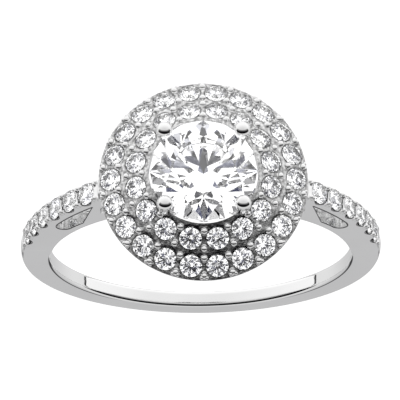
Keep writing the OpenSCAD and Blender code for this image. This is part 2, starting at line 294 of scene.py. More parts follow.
def dark_parts(tree, height, ahead, sideways):
    """How dark the studio is in a direction, from 0 to 1: the most of what its line, its card and its
    strips are.

    The card's height h counts as h + CARD_BOW sideways ** 2, so its middle and its top are arched."""
    from_line = math_node(tree, "ABSOLUTE", math_node(tree, "SUBTRACT", height, LINE_HEIGHT))
    line = math_node(tree, "SUBTRACT", 1.0, ramp_between(tree, from_line, *LINE_FADE))
    bow = math_node(tree, "MULTIPLY", sideways, sideways)
    arch = math_node(tree, "MULTIPLY_ADD", bow, CARD_BOW, height)
    card = ramp_between(tree, height, *CARD_FOOT)
    upper = ramp_between(tree, arch, *CARD_MIDDLE)
    beyond = ramp_between(tree, arch, *CARD_TOP)
    card = math_node(tree, "MULTIPLY_ADD", upper, -CARD_LIGHTER, card)
    card = math_node(tree, "MULTIPLY_ADD", beyond, CARD_LIGHTER - 1, card, clamp=True)
    card = math_node(tree, "MULTIPLY", card, ramp_between(tree, ahead, *CARD_FRONT))
    near = ramp_between(tree, sideways, *STRIP_NEAR)
    far = ramp_between(tree, sideways, *STRIP_FAR)
    low = math_node(tree, "SUBTRACT", STRIP_DARK, ramp_between(tree, height, *STRIP_TOP))
    strip = math_node(tree, "MULTIPLY", math_node(tree, "SUBTRACT", near, far), low, clamp=True)
    return math_node(tree, "MAXIMUM", math_node(tree, "MAXIMUM", line, card), strip)


def add_studio_light():
    """A white tent, a little darker in front than behind. A long card stands across its front, black
    below and dark grey above, with an arched top. A thin dark line runs round the foot of the tent, a
    dark strip lies low on each side, and all else is pale grey below. The stones see another studio, of
    a bright sky with a blue and a black cloth round the lens, so that they flash more than the metal
    does."""
    world = bpy.data.worlds.new("studio")
    bpy.context.scene.world = world
    tree = new_tree(world)
    place = put(tree, "ShaderNodeTexCoord")

    def along(direction):
        """How far a ray of length 1 runs along a direction of the worn ring."""
        node = put(tree, "ShaderNodeVectorMath", operation="DOT_PRODUCT")
        tree.links.new(place.outputs["Generated"], node.inputs[0])
        node.inputs[1].default_value = tuple(turn(direction))
        return node.outputs["Value"]

    def cloth(edge, core):
        """1 inside core degrees of the cloths' middle, 0 outside edge degrees."""
        limits = (math.cos(math.radians(edge)), math.cos(math.radians(core)))
        return ramp_between(tree, along(CLOTHS_WAY), *limits)

    height = along(STUDIO_UP)
    ahead = along(STUDIO_FRONT)
    sideways = math_node(tree, "ABSOLUTE", along((1.0, 0.0, 0.0)))
    above = ramp_between(tree, height, *HORIZON)
    paler = ramp_between(tree, height, *GROUND_HEIGHTS)
    ground = mix_colour(tree, paler, grey(0.54, 0.005), grey(0.8))
    dome = mix_colour(tree, ramp_between(tree, ahead, *DOME_FRONTS), grey(1.08), grey(0.66))
    dark = dark_parts(tree, height, ahead, sideways)
    for_metal = mix_colour(tree, dark, mix_colour(tree, above, ground, dome), grey(0.004, 0.001))
    cloths = mix_colour(tree, cloth(*BLUE_CLOTH_ANGLES), grey(1.65), BLUE_CLOTH)
    cloths = mix_colour(tree, cloth(*BLACK_CLOTH_ANGLES), cloths, grey(0.006, 0.004))
    for_stones = mix_colour(tree, above, grey(0.42, 0.01), cloths)
    path = put(tree, "ShaderNodeLightPath")
    light = put(tree, "ShaderNodeBackground")
    sky = mix_colour(tree, path.outputs["Is Transmission Ray"], for_metal, for_stones)
    tree.links.new(sky, light.inputs["Color"])
    out = put(tree, "ShaderNodeOutputWorld")
    tree.links.new(light.outputs[0], out.inputs["Surface"])


FLOOR_R = 3.0
FLOOR_SIDES = 96
FLOOR_GLOW = 0.8


def add_floor():
    """A wide flat disc at the height that the ring rests on. Mirror rays pass it and meet the studio."""
    turns = np.linspace(0, 2 * math.pi, FLOOR_SIDES, endpoint=False)
    rim = FLOOR_R * np.stack([np.cos(turns), np.sin(turns), np.zeros(FLOOR_SIDES)], 1)
    mesh = bpy.data.meshes.new("studio_floor")
    mesh.from_pydata(rim.tolist(), [], [list(range(FLOOR_SIDES))])
    floor = bpy.data.objects.new("studio_floor", mesh)
    bpy.context.scene.collection.objects.link(floor)
    material = bpy.data.materials.new("pale_floor")
    tree = new_tree(material)
    paint = put(tree, "ShaderNodeBsdfPrincipled", Roughness=0.9)
    paint.inputs["Emission Color"].default_value = grey(1.0)
    paint.inputs["Emission Strength"].default_value = FLOOR_GLOW
    grain = put(tree, "ShaderNodeTexNoise", Scale=90.0, Detail=3.0)
    place = put(tree, "ShaderNodeTexCoord")
    tree.links.new(place.outputs["Object"], grain.inputs["Vector"])
    tone = mix_colour(tree, grain.outputs["Fac"], grey(0.89), grey(0.91))
    tree.links.new(tone, paint.inputs["Base Color"])
    clear = put(tree, "ShaderNodeBsdfTransparent")
    path = put(tree, "ShaderNodeLightPath")
    seen = math_node(tree, "MAXIMUM", path.outputs["Is Camera Ray"], path.outputs["Is Diffuse Ray"])
    both = put(tree, "ShaderNodeMixShader")
    tree.links.new(seen, both.inputs[0])
    tree.links.new(clear.outputs[0], both.inputs[1])
    tree.links.new(paint.outputs[0], both.inputs[2])
    out = put(tree, "ShaderNodeOutputMaterial")
    tree.links.new(both.outputs[0], out.inputs["Surface"])
    mesh.materials.append(material)


# Materials
# Waves and hairs are counted per metre, and the relief of the hairs is in metres. A cell of a stone is
# painted dark, as shade where a facet doesn't flash, if its random tone is below DARK_CELLS, and the
# shade painted into the metal's creases breaks up over the hair tones of SHADE_BREAKS.
BROAD_WAVES = 260.0
FINE_WAVES = 5000.0
HAIRS = 5200.0
HAIR_RELIEF = 0.00004
# Colour of the shade painted into the metal's creases
PAINTED_SHADE = grey(0.03, 0.002)
SHADE_BREAKS = (0.42, 0.55)
SHADE_LEAST = 0.25
WAVE_TONES = (0.3, 0.7)
DARK_CELLS = (0.18, 0.24)


def build_polish():
    """Node group: what polishing leaves on precious metal, faint waves and hair scratches, as a tone, a
    roughness and a height."""
    tree = bpy.data.node_groups.new("jeweller_polish", "ShaderNodeTree")
    tree.interface.new_socket(name="Coordinates", in_out="INPUT", socket_type="NodeSocketVector")
    for name in ("Waves", "Hairs", "Wear"):
        tree.interface.new_socket(name=name, in_out="INPUT", socket_type="NodeSocketFloat")
    for name in ("Tone", "Roughness", "Height"):
        tree.interface.new_socket(name=name, in_out="OUTPUT", socket_type="NodeSocketFloat")
    start = tree.nodes.new("NodeGroupInput")
    end = tree.nodes.new("NodeGroupOutput")
    hair = put(tree, "ShaderNodeTexNoise", Detail=4.0, Roughness=0.6)
    tree.links.new(start.outputs["Coordinates"], hair.inputs["Vector"])
    tree.links.new(start.outputs["Hairs"], hair.inputs["Scale"])
    wave = put(tree, "ShaderNodeTexNoise", Detail=2.0)
    tree.links.new(start.outputs["Coordinates"], wave.inputs["Vector"])
    tree.links.new(start.outputs["Waves"], wave.inputs["Scale"])
    tree.links.new(ramp_between(tree, wave.outputs["Fac"], *WAVE_TONES), end.inputs["Tone"])
    rough = math_node(tree, "MULTIPLY", hair.outputs["Fac"], start.outputs["Wear"])
    tree.links.new(rough, end.inputs["Roughness"])
    tree.links.new(hair.outputs["Fac"], end.inputs["Height"])
    return tree


def metal(name, polish, light, dark, rough, wear, relief, rounding=0.0, waves=BROAD_WAVES):
    """White precious metal: mirror-like, its tone between light and dark and its roughness from rough
    up by wear, both broken up by the polish group. Shade is painted into it, in a broken line, where the
    mesh's crevice value rises to 1, as shade would fall in the creases round stones and grains. Its sharp
    edges catch the light as if they were polished round to a radius of rounding, in millimetres."""
    material = bpy.data.materials.new(name)
    tree = new_tree(material)
    place = put(tree, "ShaderNodeTexCoord")
    group = put(tree, "ShaderNodeGroup", node_tree=polish)
    tree.links.new(place.outputs["Object"], group.inputs["Coordinates"])
    group.inputs["Waves"].default_value = waves
    group.inputs["Hairs"].default_value = HAIRS
    group.inputs["Wear"].default_value = wear
    shader = put(tree, "ShaderNodeBsdfPrincipled", Metallic=1.0)
    # Painted shade: the colour darkens towards PAINTED_SHADE where the mesh's crevice value is high, broken
    # up by the hairs.
    crease_shade = put(tree, "ShaderNodeAttribute", attribute_name="crease_shade")
    tone = mix_colour(tree, group.outputs["Tone"], dark, light)
    breaks = ramp_between(tree, group.outputs["Height"], *SHADE_BREAKS)
    breaks = math_node(tree, "MULTIPLY_ADD", breaks, 1 - SHADE_LEAST, SHADE_LEAST)
    shade_share = math_node(tree, "MULTIPLY", crease_shade.outputs["Fac"], breaks)
    tree.links.new(mix_colour(tree, shade_share, tone, PAINTED_SHADE), shader.inputs["Base Color"])
    tree.links.new(math_node(tree, "ADD", group.outputs["Roughness"], rough), shader.inputs["Roughness"])
    bump = put(tree, "ShaderNodeBump", Strength=relief, Distance=HAIR_RELIEF)
    tree.links.new(group.outputs["Height"], bump.inputs["Height"])
    tree.links.new(bump.outputs["Normal"], shader.inputs["Normal"])
    if rounding:
        edge = put(tree, "ShaderNodeBevel", samples=8, Radius=rounding * MM)
        tree.links.new(edge.outputs["Normal"], bump.inputs["Normal"])
    out = put(tree, "ShaderNodeOutputMaterial")
    tree.links.new(shader.outputs[0], out.inputs["Surface"])
    return material


def cut_stone(name, cell_size, shade):
    """Colourless gem of high refraction, with painted shade: some of the cells in it, each about cell_size
    millimetres wide, are tinted with shade, standing in for the small facets of a stone that don't flash."""
    material = bpy.data.materials.new(name)
    tree = new_tree(material)
    place = put(tree, "ShaderNodeTexCoord")
    cells = put(tree, "ShaderNodeTexVoronoi", Scale=1 / (cell_size * MM))
    tree.links.new(place.outputs["Object"], cells.inputs["Vector"])
    flash = ramp_between(tree, cells.outputs["Color"], *DARK_CELLS)
    shader = put(tree, "ShaderNodeBsdfPrincipled", Roughness=0.0, IOR=2.42)
    shader.inputs["Transmission Weight"].default_value = 1.0
    tree.links.new(mix_colour(tree, flash, shade, grey(1.0)), shader.inputs["Base Color"])
    out = put(tree, "ShaderNodeOutputMaterial")
    tree.links.new(shader.outputs[0], out.inputs["Surface"])
    return material


def wear_material(piece, material):
    """Gives the piece this one material."""
    piece.data.materials.clear()
    piece.data.materials.append(material)


# Making of meshes

# An edge of a piece stays sharp if it bends more degrees than the limit given here: SHARP_BEND for the
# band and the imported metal, FACE_BEND for the halo's cut face, and GRAIN_BEND for grains and wires. A
# face is flat-sided if it looks along a given direction by more than FLAT_SHARE, and its edges stay
# sharp from FLAT_BEND degrees on.
SHARP_BEND = 28
FACE_BEND = 70
GRAIN_BEND = 80
FLAT_BEND = 4
FLAT_SHARE = 0.985

# Sides of a round wire
TUBE_SIDES = 8


def shade_smooth(work, bend, flat_way=None):
    """Shades all faces smooth across the edges that bend less than bend degrees, or less than FLAT_BEND
    beside a face that looks along flat_way, so that a long flat face mirrors as one plane."""
    for face in work.faces:
        face.smooth = True
    for edge in work.edges:
        limit = math.radians(bend)
        if flat_way is not None:
            if any(abs(face.normal.dot(flat_way)) > FLAT_SHARE for face in edge.link_faces):
                limit = math.radians(FLAT_BEND)
        edge.smooth = len(edge.link_faces) == 2 and edge.calc_face_angle(0.0) < limit


def make_piece(name, points, faces, material, bend=SHARP_BEND, crease_shade=None):
    """A metal object from points of the worn ring and faces, laid down and riding on the body."""
    mesh = bpy.data.meshes.new(name)
    mesh.from_pydata(lay(points).tolist(), [], [list(map(int, face)) for face in faces])
    # The crevice value of each point says how much shade is painted into the metal there.
    if crease_shade is not None:
        values = crease_shade.astype(np.float32)
        mesh.attributes.new("crease_shade", "FLOAT", "POINT").data.foreach_set("value", values)
    work = bmesh.new()
    work.from_mesh(mesh)
    bmesh.ops.remove_doubles(work, verts=work.verts, dist=1e-8)
    bmesh.ops.recalc_face_normals(work, faces=work.faces)
    shade_smooth(work, bend)
    work.to_mesh(mesh)
    work.free()
    piece = bpy.data.objects.new(name, mesh)
    bpy.context.scene.collection.objects.link(piece)
    wear_material(piece, material)
    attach(piece, "root")


def grid_faces(rows, columns, closed_rows=False, closed_columns=False):
    """Four-sided faces of a grid of points numbered row by row, as an array, wrapped round where it
    closes."""
    i = np.arange(rows if closed_rows else rows - 1)[:, None]
    j = np.arange(columns if closed_columns else columns - 1)[None, :]
    i2, j2 = (i + 1) % rows, (j + 1) % columns
    corners = [i * columns + j, i2 * columns + j, i2 * columns + j2, i * columns + j2]
    return np.stack([c.ravel() for c in np.broadcast_arrays(*corners)], 1)


def set_out(shape, faces, middles, axes):
    """Points and faces of copies of a small shape: at each middle m with axes a, b, c a point (x, y, z)
    of the shape goes to m + x a + y b + z c."""
    points = middles[:, None, :] + np.einsum("pk,nkd->npd", shape, np.stack(axes, 1))
    every = faces[None] + (np.arange(len(middles)) * len(shape))[:, None, None]
    return points.reshape(-1, 3), every.reshape(-1, 4)


def gather(sets):
    """Joins sets of middles and axes, end to end, into the middles and the axes of them all."""
    middles, *axes = (np.concatenate(part) for part in zip(*sets))
    return middles, axes


def eggs(name, middles, axes, radii, material, steps=13, turns=20):
    """Rounded grains: the ball (sin p cos q, sin p sin q, cos p), p from pole to pole and q round it,
    stretched by radii along each grain's own three axes, at each middle."""
    p = np.linspace(0, math.pi, steps)[:, None]
    q = np.linspace(0, 2 * math.pi, turns, endpoint=False)[None, :]
    ball = np.stack(np.broadcast_arrays(np.sin(p) * np.cos(q), np.sin(p) * np.sin(q), np.cos(p)), -1)
    faces = grid_faces(steps, turns, closed_columns=True)
    points, every = set_out(ball.reshape(-1, 3) * radii, faces, middles, axes)
    make_piece(name, points, every, material, bend=GRAIN_BEND)


def tubes(name, lines, radius, material, closed):
    """Thin round wires. Point i, j of a wire is line[i] + radius (cos a n + sin a b), where
    a = 2 pi j / TUBE_SIDES, n is the band's own Y direction and b is across both it and the line."""
    count, steps = lines.shape[:2]
    ring = np.linspace(0, 2 * math.pi, TUBE_SIDES, endpoint=False)[:, None]
    way = np.roll(lines, -1, 1) - np.roll(lines, 1, 1) if closed else np.gradient(lines, axis=1)
    way /= np.linalg.norm(way, axis=2, keepdims=True)
    out = np.array([0.0, 1.0, 0.0])
    across = np.cross(way, out)[:, :, None]
    points = lines[:, :, None] + radius * (np.cos(ring) * out + np.sin(ring) * across)
    size = steps * TUBE_SIDES
    faces = grid_faces(steps, TUBE_SIDES, closed_rows=closed, closed_columns=True).tolist()
    if not closed:
        faces += [list(range(TUBE_SIDES)), list(range(size - TUBE_SIDES, size))]
    every = [[i + k * size for i in face] for k in range(count) for face in faces]
    make_piece(name, points.reshape(-1, 3), every, material, bend=GRAIN_BEND)


# Lower part of the band
# The hoop ends at HOOP_TOP on both sides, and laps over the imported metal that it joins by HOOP_LAP,
# standing HOOP_PROUD out of it. Its inner and outer corners run out over the last shares of its half
# length, down to SHARPEST_CORNER of their radius.
HOOP_TOP = 1.5
HOOP_LAP = 0.15
HOOP_PROUD = 0.003
HOOP_STEPS = 241
INNER_CORNER_R = 0.28
INNER_RUN_OUT = 0.08
OUTER_CORNER_R = 0.05
OUTER_RUN_OUT = 0.03
SHARPEST_CORNER = 0.05


def hoop_sides(s):
    """Points of the hoop's finger side and outer side in X and Z, for s from -1 at one end to 1 at the
    other.

    The finger side is a circle. The outer side follows the band's arc, and the shoulders' arcs above
    its ends."""
    inner_end = math.asin(HOOP_TOP / FINGER_R)
    outer_end = math.asin((HOOP_TOP - BAND_DROP) / SHOULDER_R)
    turn_in = -math.pi / 2 + s * (math.pi / 2 + inner_end)
    turn_out = -math.pi / 2 + s * (math.pi / 2 + outer_end)
    inner = (FINGER_R - HOOP_PROUD) * np.stack([np.cos(turn_in), np.sin(turn_in)], 1)
    on_shoulder = np.abs(turn_out + math.pi / 2) > math.pi / 2
    middle_x = np.where(on_shoulder, np.sign(s) * SHOULDER_X, 0.0)
    reach = np.where(on_shoulder, SHOULDER_R, BAND_R) + HOOP_PROUD
    outward = np.stack([np.cos(turn_out), np.sin(turn_out)], 1)
    outer = np.stack([middle_x, np.full_like(s, BAND_DROP)], 1) + reach[:, None] * outward
    return inner, outer


def bulge_drop(wide):
    """How far the band's bulging outside lies below its crown at the distance wide from its middle."""
    return BULGE_R - np.sqrt(BULGE_R ** 2 - wide ** 2)


def hoop_section(thick, half, edge_half, corner, rim):
    """Heights above the finger side and distances from the middle of the section's points, a row for
    each section.

    They run from the finger side's middle to the outer side's: a flat, a quarter circle of radius
    corner, the flat side from half the width half to edge_half, a quarter circle of radius rim, and the
    bulge."""
    flat = np.linspace(0, 1, 5)
    bend = np.linspace(0, math.pi / 2, 15)
    bulge = np.linspace(1, 0, 9)[1:] * (edge_half - rim)
    up = [
        np.zeros_like(corner * flat),
        corner * (1 - np.cos(bend)),
        thick - bulge_drop(edge_half) - rim * (1 - np.sin(bend)),
        thick - bulge_drop(bulge),
    ]
    wide = [
        (half - corner) * flat,
        half - corner * (1 - np.sin(bend)),
        edge_half - rim * (1 - np.cos(bend)),
        bulge,
    ]
    return np.concatenate(up, 1), np.concatenate(wide, 1)


def hoop(material):
    """The lower part of the band: a closed section carried round the finger, from one end by way of the
    back to the other. One parameter runs round the hoop and the other round the section, up one half
    and back down the other, its mirror image. The inner corners are wide, as on a band made to slip
    over the knuckle."""
    s = np.linspace(-1, 1, HOOP_STEPS)
    inner, outer = hoop_sides(s)
    thick = np.linalg.norm(outer - inner, axis=1)[:, None]
    across = (outer - inner) / thick
    half = side_at(inner[:, 1])[:, None] + HOOP_PROUD
    edge_half = side_at(outer[:, 1])[:, None] + HOOP_PROUD
    from_end = (1 - np.abs(s))[:, None]
    corner = INNER_CORNER_R * np.clip(from_end / INNER_RUN_OUT, SHARPEST_CORNER, 1)
    rim = OUTER_CORNER_R * np.clip(from_end / OUTER_RUN_OUT, SHARPEST_CORNER, 1)
    up, wide = hoop_section(thick, half, edge_half, corner, rim)
    up = np.concatenate([up, up[:, -2:0:-1]], 1)
    wide = np.concatenate([wide, -wide[:, -2:0:-1]], 1)
    place = inner[:, None, :] + up[:, :, None] * across[:, None, :]
    points = np.stack([place[..., 0], wide, place[..., 1]], -1)
    rows, columns = up.shape
    faces = grid_faces(rows, columns, closed_columns=True).tolist()
    faces.append(list(range(columns)))
    faces.append(list(range((rows - 1) * columns, rows * columns)))
    make_piece("finger_hoop", points.reshape(-1, 3), faces, material)


# Halo

def row_place(row_r, row_z, count, k):
    """Middle, outward, sideways and upward directions of place k of a halo row, for an array of places."""
    a = np.radians(270 + (np.asarray(k) + 0.5) * 360 / count)
    zero = np.zeros_like(a)
    middle = np.stack([row_r * np.cos(a), row_r * np.sin(a), zero + row_z], -1)
    cos, sin = math.cos(HALO_SLOPE), math.sin(HALO_SLOPE)
    outward = np.stack([cos * np.cos(a), cos * np.sin(a), zero - sin], -1)
    sideways = np.stack([-np.sin(a), np.cos(a), zero], -1)
    upward = np.stack([sin * np.cos(a), sin * np.sin(a), zero + cos], -1)
    return middle, outward, sideways, upward


def row_gaps(row):
    """The places half way between the stones of a halo row."""
    return row_place(*row, np.arange(row[2]) + 0.5)


# Bright-cut face: its height over the slope, the depth of its cuts, how fast they fade away from a
# stone, how far inside a stone's edge they still deepen and how far the face reaches under it, then how
# dark the shade painted round a stone is, and its width
RELIEF_ROWS = 80
RELIEF_COLUMNS = 1056
RELIEF_H = 0.03
CUT_DEPTH = 0.04
CUT_FADE = 0.08
CUT_INSIDE = 0.08
FACE_INSIDE = 0.03
CREASE_SHADE_DARK = 0.85
CREASE_SHADE_W = 0.05


def halo_relief(material):
    """The bright-cut metal round the halo's stones, as a height over the sloping face.

    One parameter runs round the halo, the other out along its slope. With w the distance from the
    nearest stone's edge and b the bearing from its middle, 0 up the slope, the height is RELIEF_H less
    a cut of CUT_DEPTH exp(-w / CUT_FADE) (1 + cos b) / 2: most above each stone and none below it. Shade
    is painted round each stone, as a crevice value of CREASE_SHADE_DARK exp(-(w / CREASE_SHADE_W) ** 2).
    Faces under the stones are left out."""
    r = np.linspace(HALO_IN_R, HALO_OUT_R, RELIEF_ROWS)[:, None]
    a = np.linspace(0, 2 * math.pi, RELIEF_COLUMNS, endpoint=False)[None, :]
    near, cuts = [], []
    for row_r, _, count in ROWS:
        step = 2 * math.pi / count
        off = np.mod(a + math.pi / 2, step) - step / 2
        for turn_by in (-step, 0.0, step):
            d = off + turn_by
            down = (r * np.cos(d) - row_r) / math.cos(HALO_SLOPE)
            gap = np.hypot(down, r * np.sin(d))
            w = np.maximum(gap - SMALL_R, -CUT_INSIDE)
            near.append(w)
            cuts.append(CUT_DEPTH * np.exp(-w / CUT_FADE) * (1 - down / gap) / 2)
    w = np.minimum.reduce(near)
    h = RELIEF_H - np.maximum.reduce(cuts)
    out = r + h * math.sin(HALO_SLOPE)
    up = halo_z(r) + h * math.cos(HALO_SLOPE)
    points = np.stack([out * np.cos(a), out * np.sin(a), up], -1).reshape(-1, 3)
    faces = grid_faces(RELIEF_ROWS, RELIEF_COLUMNS, closed_columns=True)
    faces = faces[(w.ravel()[faces] > -FACE_INSIDE).any(1)]
    used, faces = np.unique(faces, return_inverse=True)
    # Painted shade round each stone, darkest at its edge.
    crease_shade = CREASE_SHADE_DARK * np.exp(-(np.maximum(w, 0) / CREASE_SHADE_W) ** 2).ravel()[used]
    make_piece("halo_face", points[used], faces.reshape(-1, 4), material, bend=FACE_BEND, crease_shade=crease_shade)


# Pillow-shaped grains: half their length down the slope, half their width, their height and the depth
# of their foot, their distance from the row's middle line and their lift, and where the shade painted
# round their rim starts and is full, and how dark it is
PILLOW = (0.27, 0.2, 0.05)
PILLOW_FOOT = 0.1
PILLOW_OFF = 0.47
PILLOW_LIFT = 0.01
PILLOW_RIM = (0.84, 0.94)
PILLOW_RIM_SHADE = 0.95
PILLOW_TURNS = 24


def halo_beads(material):
    """Pillow-shaped grains that hold the halo's stones, one at each end of every gap of both rows.

    With p from 0 at the middle to 1 at the rim and q round it, and PILLOW as (l, w, h), a point lies at
    (l p cos q, w p sin q) across the slope and h (1 - p ** 8) above it. A point below closes the
    pillow. Shade is painted round each pillow's rim, from the first p of PILLOW_RIM to the second."""
    p = np.concatenate([np.linspace(0, 0.6, 4), np.linspace(0.68, 1, 9)])[:, None]
    q = np.linspace(0, 2 * math.pi, PILLOW_TURNS, endpoint=False)[None, :]
    length, width, height = PILLOW
    grid = np.broadcast_arrays(length * p * np.cos(q), width * p * np.sin(q), height * (1 - p ** 8))
    foot = np.broadcast_to([0.0, 0.0, -PILLOW_FOOT], (1, PILLOW_TURNS, 3))
    pillow = np.concatenate([np.stack(grid, -1), foot]).reshape(-1, 3)
    faces = grid_faces(len(p) + 1, PILLOW_TURNS, closed_columns=True)
    sets = []
    for row in ROWS:
        for side in (-1, 1):
            middle, outward, sideways, upward = row_gaps(row)
            middle = middle + side * PILLOW_OFF * outward + PILLOW_LIFT * upward
            sets.append((middle, outward, sideways, upward))
    middles, axes = gather(sets)
    points, every = set_out(pillow, faces, middles, axes)
    start, full = PILLOW_RIM
    # Painted shade round each pillow's rim.
    rim = PILLOW_RIM_SHADE * np.clip((np.append(p.ravel(), 1.0) - start) / (full - start), 0, 1)
    crease_shade = np.tile(np.repeat(rim, PILLOW_TURNS), len(middles))
    make_piece("halo_beads", points, every, material, bend=GRAIN_BEND, crease_shade=crease_shade)


# Pairs of round grains on the rim: their radius, and their places from the middle of a gap of the outer
# row
RIM_GRAIN_R = 0.13
RIM_GRAIN_OFF = 0.6
RIM_GRAIN_LEAN = 0.14
RIM_GRAIN_LIFT = 0.08


def rim_grains(material):
    """Small round grains in pairs along the halo's outer rim, one pair in each gap of the outer row."""
    sets = []
    for side in (-1, 1):
        middle, outward, sideways, upward = row_gaps(OUTER_ROW)
        middle = middle + RIM_GRAIN_OFF * outward + side * RIM_GRAIN_LEAN * sideways
        middle = middle + RIM_GRAIN_LIFT * upward
        sets.append((middle, outward, sideways, upward))
    middles, axes = gather(sets)
    eggs("rim_grains", middles, axes, (RIM_GRAIN_R, RIM_GRAIN_R, RIM_GRAIN_R), material)


# Shoulders

def on_both_flanks(x, z):
    """Lines x, z drawn on the flat flanks of the band, in front and behind, on both shoulders."""
    sets = [np.stack([side * x, edge * side_at(z), z], -1) for side in (-1, 1) for edge in (-1, 1)]
    return np.concatenate(sets)


# Lines of painted shade under the stones: half their length, the depth of their ends under the crown,
# how much deeper their middles lie, and their radius
SCALLOP_HALF = 0.3
SCALLOP_TOP = 0.2
SCALLOP_SAG = 0.26
SCALLOP_LINE_R = 0.02


def scallop_lines(material):
    """Dark lines of painted shade under the shoulders' stones: a U below each, on both flanks of the band.

    With u from -1 to 1 a line runs SCALLOP_HALF u along the band and
    SCALLOP_TOP + SCALLOP_SAG sqrt(1 - u ** 2) below the crown."""
    u = np.sin(np.linspace(-math.pi / 2, math.pi / 2, 25))[None, :]
    t = FIRST_STONE - np.arange(SHOULDER_COUNT)[:, None] * STONE_STEP + SCALLOP_HALF * u / SHOULDER_R
    low = SHOULDER_R - SCALLOP_TOP - SCALLOP_SAG * np.sqrt(1 - u ** 2)
    lines = on_both_flanks(SHOULDER_X + low * np.cos(t), BAND_DROP + low * np.sin(t))
    tubes("scallop_lines", lines, SCALLOP_LINE_R, material, closed=False)


WINDOW_LINE_R = 0.028


def window_lines(material):
    """Dark lines of painted shade along the edges of the leaf-shaped side windows, in three arcs: along the
    crown, round the tip and round the finger. The straight leaning end closes each line."""
    foot_turn = math.acos((OPENING_X + POST_W) / FOOT_R)
    tip_turn = foot_turn - WINDOW_W / FOOT_R
    foot = FOOT_R * np.array([math.cos(foot_turn), math.sin(foot_turn)])
    lean = np.array([-math.sin(WINDOW_LEAN), math.cos(WINDOW_LEAN)])
    middle = np.array([SHOULDER_X, BAND_DROP])
    crown_r = SHOULDER_R - RAIL_T

    def reach(start, way):
        """Where a line from start meets the crown's arc, as an angle about the arc's middle."""
        off = start - middle
        run = -off @ way + math.sqrt((off @ way) ** 2 - off @ off + crown_r ** 2)
        end = off + run * way
        return math.atan2(end[1], end[0])

    tip_way = np.array([math.cos(tip_turn), math.sin(tip_turn)])
    crown = np.linspace(reach(foot, lean), reach(np.zeros(2), tip_way), 40)
    tip = np.linspace(tip_turn, tip_turn - math.pi, 20)
    under = np.linspace(tip_turn, foot_turn, 20)
    tip_at = (FOOT_R + WINDOW_TIP_R - WINDOW_TIP_SINK) * tip_way
    parts = [
        middle + crown_r * np.stack([np.cos(crown), np.sin(crown)], 1),
        tip_at + WINDOW_TIP_R * np.stack([np.cos(tip), np.sin(tip)], 1),
        FOOT_R * np.stack([np.cos(under), np.sin(under)], 1)[1:],
    ]
    x, z = np.concatenate(parts)[None].transpose(2, 0, 1)
    tubes("window_lines", on_both_flanks(x, z), WINDOW_LINE_R, material, closed=True)


# Split prongs: their radii outward, along the band and across it, the depth of their middles under the
# crown and inside the flank, and half the distance between the two of a pair
PRONG_RADII = (0.24, 0.12, 0.15)
PRONG_SINK = 0.24
PRONG_INSET = 0.13
PRONG_LEAN = 0.13


def shoulder_grains(material):
    """Split prongs along both edges of each shoulder: a pair of upright grains in every gap of its row
    of stones."""
    gaps = FIRST_STONE - (np.arange(SHOULDER_COUNT + 1) - 0.5) * STONE_STEP
    sets = []
    for side in (-1, 1):
        for edge in (-1, 1):
            for lean in (-PRONG_LEAN, PRONG_LEAN):
                t = gaps + lean / SHOULDER_R
                cos, sin, zero = np.cos(t), np.sin(t), np.zeros_like(t)
                x = side * (SHOULDER_X + (SHOULDER_R - PRONG_SINK) * cos)
                z = BAND_DROP + (SHOULDER_R - PRONG_SINK) * sin
                middle = np.stack([x, edge * (side_at(z) - PRONG_INSET), z], -1)
                outward = np.stack([side * cos, zero, sin], -1)
                along_arc = np.stack([-side * sin, zero, cos], -1)
                across = np.stack([zero, zero + 1, zero], -1)
                sets.append((middle, outward, along_arc, across))
    middles, axes = gather(sets)
    eggs("shoulder_grains", middles, axes, PRONG_RADII, material)


# Claws

BALL_PROUD = 0.003


def claw_balls(material):
    """The four smooth ball tips over the centre stone's edge, a hair's breadth over those of the packed
    metal."""
    a = TIP_TURN + math.pi / 2 * np.arange(4)
    middles = np.stack([TIP_R * np.cos(a), TIP_R * np.sin(a), np.full(4, TIP_Z)], 1)
    unit = np.broadcast_to(np.eye(3), (4, 3, 3))
    radius = TIP_BALL_R + BALL_PROUD
    axes = [unit[:, k] for k in range(3)]
    eggs("claw_balls", middles, axes, (radius, radius, radius), material, steps=33, turns=48)


# Packed metal

# A face is part of a stone's seat if all of it lies within SEAT_MARGIN of the stone's edge and between
# these heights about its girdle. It is part of a window if all of it lies deeper than WINDOW_FROM under
# the crown, outside the finger hole by WINDOW_OFF_HOLE, above the hoop by WINDOW_OFF_HOOP, lower than
# the top of the finger hole and further out than the halo's inner edge. A face that looks out sideways
# by FLANK_SHARE or more is part of a flank, and of neither.
SEAT_MARGIN = 0.04
SEAT_LOW = -0.3
SEAT_HIGH = 0.1
WINDOW_FROM = 0.7
WINDOW_OFF_HOLE = 0.1
WINDOW_OFF_HOOP = 0.5
FLANK_SHARE = 0.9


def small_stones():
    """Middles and upward directions of all the small stones, in the halo's rows and on both shoulders."""
    middles, ups = [], []
    for row in ROWS:
        middle, _, _, up = row_place(*row, np.arange(row[2]))
        middles.append(middle)
        ups.append(up)
    t = FIRST_STONE - np.arange(SHOULDER_COUNT) * STONE_STEP
    for side in (-1, 1):
        up = np.stack([side * np.cos(t), np.zeros_like(t), np.sin(t)], -1)
        middles.append(np.array([side * SHOULDER_X, 0.0, BAND_DROP]) + STONE_ARC_R * up)
        ups.append(up)
    return np.concatenate(middles), np.concatenate(ups)


def cut_off_hoop(work):
    """Cuts the mesh at HOOP_TOP - HOOP_LAP, clears what lies below and closes the cut ends."""
    cut = bmesh.ops.bisect_plane(
        work,
        geom=work.verts[:] + work.edges[:] + work.faces[:],
        dist=1e-9,
        plane_co=lay([[0, 0, HOOP_TOP - HOOP_LAP]])[0],
        plane_no=turn([0, 0, 1]),
        clear_inner=True,
    )
    open_edges = [e for e in cut["geom_cut"] if isinstance(e, bmesh.types.BMEdge)]
    bmesh.ops.holes_fill(work, edges=open_edges, sides=0)


